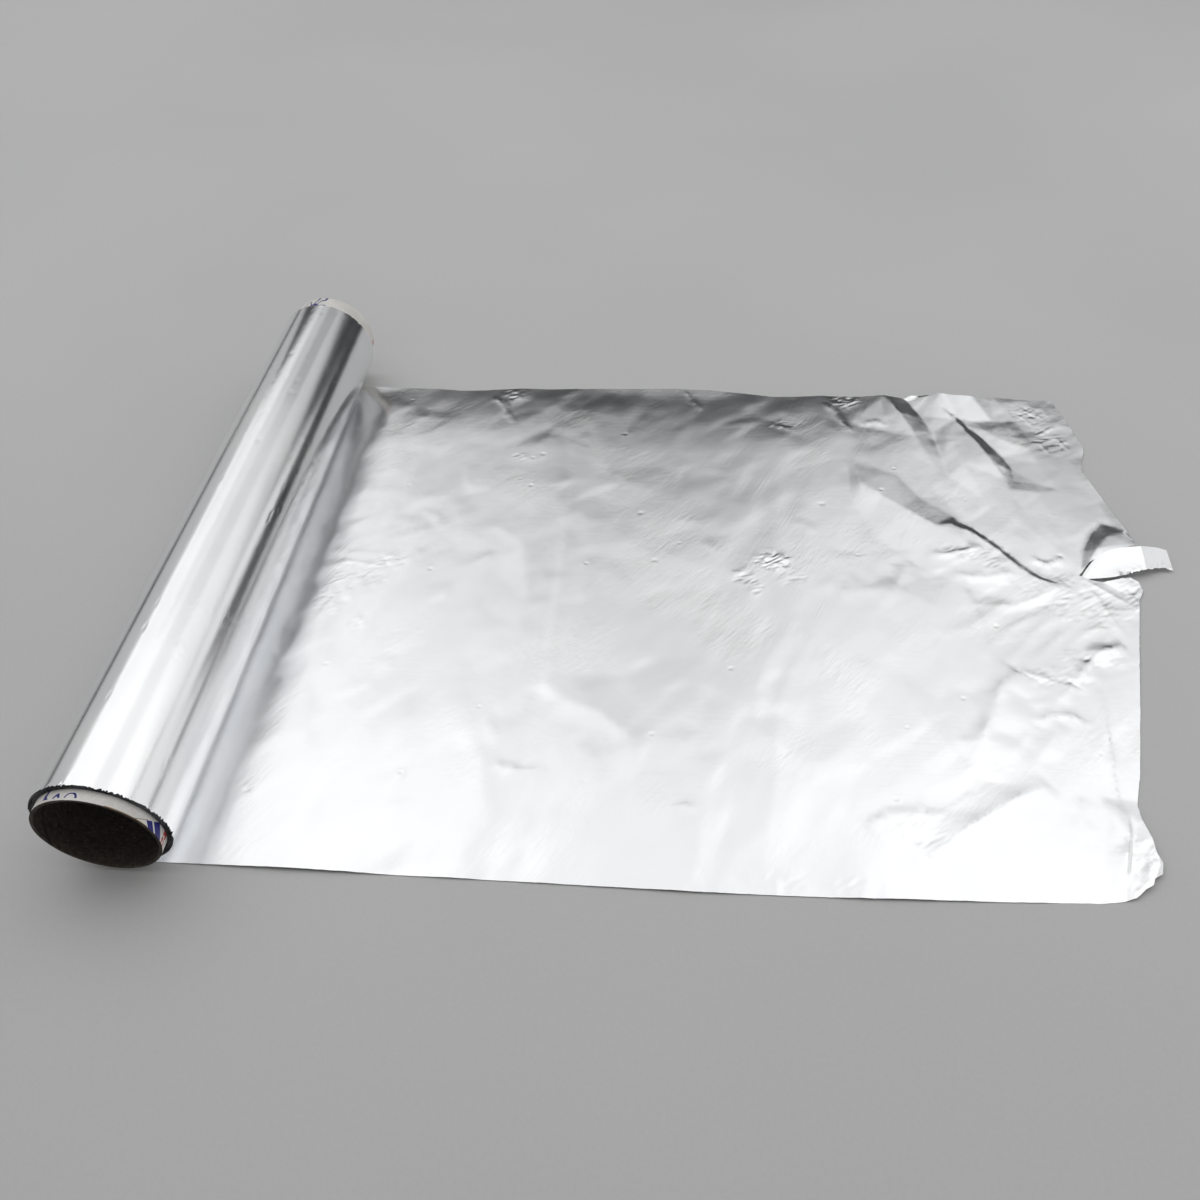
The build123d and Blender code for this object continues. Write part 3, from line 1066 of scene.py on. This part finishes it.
def make_strip():
    top = [
        strip_point(row / STRIP_ROWS, column / STRIP_COLUMNS)
        for row in range(STRIP_ROWS + 1)
        for column in range(STRIP_COLUMNS + 1)
    ]
    wide = STRIP_COLUMNS + 1
    faces = [
        (a, a + wide, a + wide + 1, a + 1)
        for row in range(STRIP_ROWS)
        for a in range(row * wide, row * wide + STRIP_COLUMNS)
    ]
    return solid_skin("torn_strip", np.array(top), faces, (SATIN_FOIL, BRIGHT_FOIL))


torn_strip = make_strip()
print("torn strip", len(torn_strip.data.polygons), "faces")

# %% [markdown]
# ## One tree for everything that is wound
#
# The wound foil and the paperboard tube are the same kind of shape: an outer wall, a bore, and two end
# faces made of the edges of many layers. A modelled lathe would do, but the shape follows a rule, so
# Geometry Nodes write it down: four flat grids are joined, and each point's place is worked out from its
# angle, its radius and how far along the axis it lies. The layers' edges come from a noise that changes
# fast with the radius and slowly with the angle, so each turn stands a little further out or in than the
# next. The same tree then makes both pieces with different inputs.

# %% The tree for a wound shell
SHELL_SHARPEST_SMOOTH = 40
SHELL_INPUTS = {
    "Outer Radius": 0.02, "Inner Radius": 0.01, "Near End": -0.1, "Far End": 0.1, "Ledges": 0.0002,
    "Teeth": 0.0, "Relief": 0.0, "Dents": 0.0, "Steps Around": 320, "Steps Along": 150, "Layers": 10,
}


def start_tree(name, inputs, materials):
    tree = bpy.data.node_groups.new(name, "GeometryNodeTree")
    tree.interface.new_socket("Geometry", in_out="OUTPUT", socket_type="NodeSocketGeometry")
    for key, value in inputs.items():
        kind = "NodeSocketInt" if isinstance(value, int) else "NodeSocketFloat"
        tree.interface.new_socket(key, in_out="INPUT", socket_type=kind).default_value = value
    for key in materials:
        tree.interface.new_socket(key, in_out="INPUT", socket_type="NodeSocketMaterial")
    return tree, Wire(tree).make("NodeGroupInput")


def shell_patch(given, radius_ends, reach_ends, steps, material):
    """One grid of the shell. The ends are the radius and the reach along the axis at its two rims."""
    around = given.other("Steps Around") + 1
    grid = given.make("GeometryNodeMeshGrid", {}, 1.0, 1.0, around, steps + 1, out="Mesh")
    place = parted(given, given.make("GeometryNodeInputPosition"))
    angle = (place.other("X") + 0.5) * math.tau
    down = place.other("Y") + 0.5
    radius = radius_ends[0] + (radius_ends[1] - radius_ends[0]) * down
    reach = down * (reach_ends[1] - reach_ends[0]) + reach_ends[0]
    side, height = given.math("COSINE", angle), given.math("SINE", angle)
    wall = given.other("Outer Radius") - given.other("Inner Radius")
    outness = (radius - given.other("Inner Radius")) / wall

    def noise_at(x, y, z, detail=1.0):
        spot = given.make("ShaderNodeCombineXYZ", {}, x, y, z)
        return given.make("ShaderNodeTexNoise", {}, Vector=spot, Scale=1.0, Detail=detail) - 0.5

    def layer_edge(seed):
        ledge = noise_at(outness * 9.0 + seed, side * 1.3, height * 1.3) * given.other("Ledges")
        where = noise_at(side * 2.2 + seed, height * 2.2, 3.0).between(-0.14, 0.06)
        tooth = noise_at(side * 34.0 + seed, height * 34.0, 7.0, 2.0) * given.math("POWER", outness, 8.0)
        return ledge + tooth * where * given.other("Teeth")

    near = given.other("Near End") - layer_edge(10.0)
    far = given.other("Far End") + layer_edge(20.0)
    along = near + (far - near) * reach
    slow_swell = noise_at(side * 2.6, along * 13.0, height * 2.6, 2.0)
    swell = slow_swell + noise_at(side * 7.0, along * 9.0, height * 7.0) * 0.35
    pit = 1 - noise_at(side * 9.0, along * 330.0, height * 9.0, 0.0).between(-0.34, -0.16)
    bruised = noise_at(side * 1.5, along * 9.0 + 3.0, height * 1.5).between(0.02, 0.16)
    relief = (swell * given.other("Relief") - pit * bruised * given.other("Dents")) * outness
    full = radius + relief
    spot = given.make("ShaderNodeCombineXYZ", {}, full * side, along, full * height)
    placed = given.make("GeometryNodeSetPosition", {}, grid, None, spot)
    return given.make("GeometryNodeSetMaterial", {}, placed, None, given.other(material))


def wound_shell_tree():
    tree, given = start_tree("wound shell", SHELL_INPUTS, ["Wall", "Ends", "Bore"])
    outer, inner = given.other("Outer Radius"), given.other("Inner Radius")
    along, layers = given.other("Steps Along"), given.other("Layers")
    patches = [
        shell_patch(given, (outer, outer), (1.0, 0.0), along, "Wall"),
        shell_patch(given, (inner, inner), (0.0, 1.0), along * 0.25, "Bore"),
        shell_patch(given, (outer, inner), (0.0, 0.0), layers, "Ends"),
        shell_patch(given, (inner, outer), (1.0, 1.0), layers, "Ends"),
    ]
    join = given.make("GeometryNodeJoinGeometry")
    for patch in patches:
        tree.links.new(patch.socket, join.socket.node.inputs[0])
    closed = given.make("GeometryNodeMergeByDistance", {}, join, Distance=0.002 * MM)
    smooth = given.make("GeometryNodeSetShadeSmooth", {}, closed)
    real = given.make("GeometryNodeRealizeInstances", {}, smooth)
    end = tree.nodes.new("NodeGroupOutput")
    tree.links.new(real.socket, end.inputs[0])
    return tree


def grow(name, tree, **inputs):
    """Runs a tree with these inputs and keeps its result as a plain mesh."""
    piece = add_object(name, bpy.data.meshes.new(name))
    modifier = piece.modifiers.new("tree", "NODES")
    modifier.node_group = tree
    for socket in tree.interface.items_tree:
        key = socket.name.replace(" ", "_").lower()
        if key in inputs:
            modifier[socket.identifier] = inputs[key]
    shown = piece.evaluated_get(bpy.context.evaluated_depsgraph_get())
    mesh = bpy.data.meshes.new_from_object(shown)
    piece.modifiers.clear()
    piece.data = mesh
    mesh.name = name
    mesh.set_sharp_from_angle(angle=math.radians(SHELL_SHARPEST_SMOOTH))
    return piece


WOUND_SHELL = wound_shell_tree()
print("wound shell tree", len(WOUND_SHELL.nodes), "nodes")

# %% [markdown]
# ## The wound foil
#
# All the turns that are still on the roll are one tight body. Its outside is the bright face, pulled
# smooth but never quite round: it swells and sinks by a few hundredths of a millimetre, which is enough
# to make the lights in it waver. Both rims were knocked about in the box, so the outermost turns end in
# little teeth there.

# %% Make the wound foil
TURNS_RADIUS = TUBE_RADIUS + 0.05 * MM
wound_foil = grow(
    "wound_foil", WOUND_SHELL, outer_radius=ROLL_RADIUS - 2 * FOIL_SKIN, inner_radius=TURNS_RADIUS,
    near_end=-HALF_WIDTH, far_end=HALF_WIDTH, ledges=1.1 * MM, teeth=4.5 * MM, relief=0.05 * MM,
    dents=0.12 * MM, steps_around=320, steps_along=190, layers=12, wall=BRIGHT_FOIL, ends=FOIL_EDGES_PAINTED_SHADE,
    bore=FOIL_EDGES_PAINTED_SHADE,
)
print("wound foil", len(wound_foil.data.polygons), "faces")

# %% [markdown]
# ## Paperboard tube
#
# The tube is wound from strips of grey board laid on in a spiral, with a white printed strip outermost.
# Only two narrow bands of it show, one at each end, and the printing there is cut off by the foil: a few
# blue strokes, two bars, some red ticks. Any words are left out, and plain strokes take their place. The
# print is placed by the angle round the tube and the distance along it, so that it stays on the paper
# from every side, and a thin brown line shows where the edge of the white strip comes round.


# %% White printed outer strip: angles in degrees, places along the tube in millimetres
SEAM_TWIST = 6.1
SEAM_START = 905.2
BAR_TWIST = 2.5


def printed_strip():
    material, shader, wire = start_material("printed_strip")
    place = object_place(wire)
    parts = parted(wire, place)
    angle = angle_round(wire, parts)
    along = parts.other("Y") * (1 / MM)
    fibre = grain(wire, place, 900.0, 3.0)
    mottle = grain(wire, place, 60.0, 2.0)
    paper = blend((mottle + fibre * 0.5).between(-0.2, 0.25), (0.74, 0.72, 0.68), (0.88, 0.865, 0.83))

    def band(value, low, high, soft):
        return value.between(low - soft, low + soft) * (1 - value.between(high - soft, high + soft))

    def stroke(wobble, width):
        return 1 - wire.math("ABSOLUTE", wobble).between(width * 0.5, width)

    squiggle = stroke(grain(wire, place, 215.0, 0.0), 0.05) * band(angle, 85.0, 121.0, 1.0)
    kept_clear = band(along, -153.4, 165.0, 0.05)
    bar_angle = angle - along * BAR_TWIST
    from_seam = angle + along * SEAM_TWIST + SEAM_START
    past_seam = 1 - from_seam.between(-1.5, -0.5)
    bars = (band(bar_angle, 396.0, 404.5, 0.2) + band(bar_angle, 382.5, 393.5, 0.2)) * past_seam
    blue = (squiggle * kept_clear + bars).between(0.3, 0.7)
    ticks = stroke(grain(wire, place, 620.0, 0.0), 0.12) * band(angle, -13.0, -4.0, 0.5)
    slanting_seam = stroke(from_seam, 1.0) * band(angle, 22.0, 42.0, 0.5)
    raw_rim = (1 - along.between(-154.1, -153.9)) * band(angle, 20.0, 62.0, 5.0)
    seam = (slanting_seam + raw_rim).between(0.3, 0.7)
    inked = blend(blue, paper, (0.008, 0.010, 0.20))
    ticked = blend(ticks, inked, (0.55, 0.03, 0.02))
    feed(shader, "Base Color", blend(seam, ticked, (0.32, 0.20, 0.11)))
    feed(shader, "Roughness", 0.48 + mottle * 0.2)
    feed(shader, "Normal", bump(wire, fibre * 0.5 - seam, 0.4, 0.06 * MM))
    return material


PRINTED_STRIP = printed_strip()
print("printed strip ready")


# %% Grey board inside and at the cut ends, painted near black as the shade in the bore
PLY_PITCH = 75 * MM


def grey_board():
    material, shader, wire = start_material("grey_board", Roughness=0.9)
    place = object_place(wire)
    parts = parted(wire, place)
    fibre = grain(wire, object_place(wire, (2 * MM, 1.1 * MM, 2 * MM)), 1.0, 3.0)
    flecks = grain(wire, place, 1400.0, 2.0).between(0.14, 0.2)
    helix = wire.math("FRACT", angle_round(wire, parts) * (1 / 360) + parts.other("Y") * (1 / PLY_PITCH))
    ply_edge = 1 - wire.math("ABSOLUTE", helix - 0.5).between(0.004, 0.010)
    # The board's own grain and flecks, on a colour darkened to near black: painted shade for the bore and
    # the cut ends
    board = blend(fibre.between(-0.25, 0.25), (0.04, 0.032, 0.026), (0.09, 0.073, 0.058))
    flecked = blend(flecks, board, (0.20, 0.17, 0.14))
    feed(shader, "Base Color", blend(ply_edge, flecked, (0.03, 0.024, 0.02)))
    feed(shader, "Normal", bump(wire, fibre - ply_edge, 0.6, 0.12 * MM))
    return material


GREY_BOARD_WITH_PAINTED_SHADE = grey_board()
print("grey board ready")

# %% Make the tube
paper_tube = grow(
    "paper_tube", WOUND_SHELL, outer_radius=TUBE_RADIUS, inner_radius=BORE_RADIUS, near_end=tube_low.y,
    far_end=tube_high.y, ledges=0.35 * MM, teeth=0.15 * MM, relief=0.02 * MM, dents=0.0, steps_around=256,
    steps_along=120, layers=6, wall=PRINTED_STRIP, ends=GREY_BOARD_WITH_PAINTED_SHADE, bore=GREY_BOARD_WITH_PAINTED_SHADE,
)
print("paper tube", len(paper_tube.data.polygons), "faces")

# %% [markdown]
# ## Floor and light
#
# Foil has hardly any look of its own: it shows the lights. So the lights are laid out as what the foil
# should mirror. A ceiling of twelve soft panels hangs over and behind the table, in four columns and
# three rows, each with its own brightness: the rows grow dimmer towards the back, which fades the sheet
# towards its far edge, and the columns give the roll its bright bands with greyer ones between. Low
# panels stand at the left and the right for the facets that lean that way. The far one at the right
# hangs higher and leaves the wall below it dark, because a facet that mirrors that dark is what reads as
# a fold. Two dimmer panels at the viewer's back keep the foil from going black when it is looked at from
# behind. One big even light would be simpler, but the foil would look like grey paper in it. The floor is
# a plain pale one, and the surroundings stay dim so that the foil keeps its darks.


# %% Floor
FLOOR_HALF = 6.0


def floor_material():
    material, shader, wire = start_material("floor")
    cloud = grain(wire, object_place(wire), 3.0, 3.0)
    fine = grain(wire, object_place(wire), 700.0, 2.0)
    mottled = (cloud + fine * 0.4).between(-0.4, 0.4)
    feed(shader, "Base Color", blend(mottled, (0.60, 0.60, 0.60), (0.66, 0.66, 0.655)))
    feed(shader, "Roughness", 0.7 + cloud * 0.1)
    return material


def add_floor(half):
    mesh = bpy.data.meshes.new("floor")
    rim = [(-half, -half), (half, -half), (half, half), (-half, half)]
    mesh.from_pydata([(x, y, FLOOR_Z) for x, y in rim], [], [(0, 1, 2, 3)])
    mesh.materials.append(floor_material())
    floor = add_object("floor", mesh)


add_floor(FLOOR_HALF)
print("floor at", FLOOR_Z)

# %% Soft lights over the table
LIGHT_HEIGHT = 1.3
LIGHT_COLUMNS = [(-1.6, -0.55), (-0.55, -0.12), (-0.12, 0.42), (0.42, 1.9)]
LIGHT_ROWS = [(-0.4, 0.9), (0.9, 1.5), (1.5, 2.3)]
BRIGHTNESS = [
    (1.05, 1.00, 0.85),
    (1.10, 0.82, 0.54),
    (0.92, 0.70, 0.36),
    (1.10, 0.85, 0.55),
]


def add_soft_light(name, place, size, brightness, aim=(0, 0, 0)):
    """Brightness is what a perfect mirror would show."""
    data = bpy.data.lights.new(name, "AREA")
    data.shape = "RECTANGLE"
    data.size, data.size_y = size
    data.energy = brightness * size[0] * size[1] * math.pi
    light = add_object(name, data)
    light.location = place
    light.rotation_euler = [math.radians(a) for a in aim]
    light.visible_camera = False


def add_ceiling():
    for column, (x0, x1) in enumerate(LIGHT_COLUMNS):
        for row, (y0, y1) in enumerate(LIGHT_ROWS):
            place = ((x0 + x1) / 2, (y0 + y1) / 2, LIGHT_HEIGHT)
            add_soft_light(f"ceiling_{column}_{row}", place, (x1 - x0, y1 - y0), BRIGHTNESS[column][row])


add_ceiling()
print("ceiling panels", len(bpy.data.lights))

# %% Low panels round the table: name, place, size, brightness and turn in degrees
add_soft_light("left_wall", (-1.4, 0.9, 0.72), (1.1, 2.6), 0.45, (0, -90, 0))
add_soft_light("right_wall_near", (2.0, 0.45, 0.68), (1.18, 1.7), 0.80, (0, 90, 0))
add_soft_light("right_wall_far", (2.0, 1.88, 0.98), (0.70, 1.16), 0.78, (0, 90, 0))
add_soft_light("front_light", (0.15, -1.1, LIGHT_HEIGHT), (2.2, 0.9), 0.3)
add_soft_light("front_wall", (1.2, -2.1, 0.8), (7.0, 1.0), 0.42, (90, 0, 0))
print("soft lights", len(bpy.data.lights))

# %% Dim surroundings
world = bpy.data.worlds.new("world")
world.use_nodes = True
world.node_tree.nodes["Background"].inputs["Color"].default_value = (0.03, 0.031, 0.033, 1.0)
bpy.context.scene.world = world
bpy.context.scene.view_settings.view_transform = "Standard"
print("surroundings ready")

# %% [markdown]
# ## Handing the pieces over
#
# The wound turns, the sheet and the strip are three meshes but one foil, so all three stand for that
# node. The sheet's flat length is worked out from its outline.

# %% Bodies, and the sheet's flat length
for piece in (wound_foil, free_sheet, torn_strip):
    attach(piece, "root")
    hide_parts("foil")

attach(paper_tube, "root")
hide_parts("core_tube")

SHEET_LENGTH = max(x for x, _ in outline) * MM
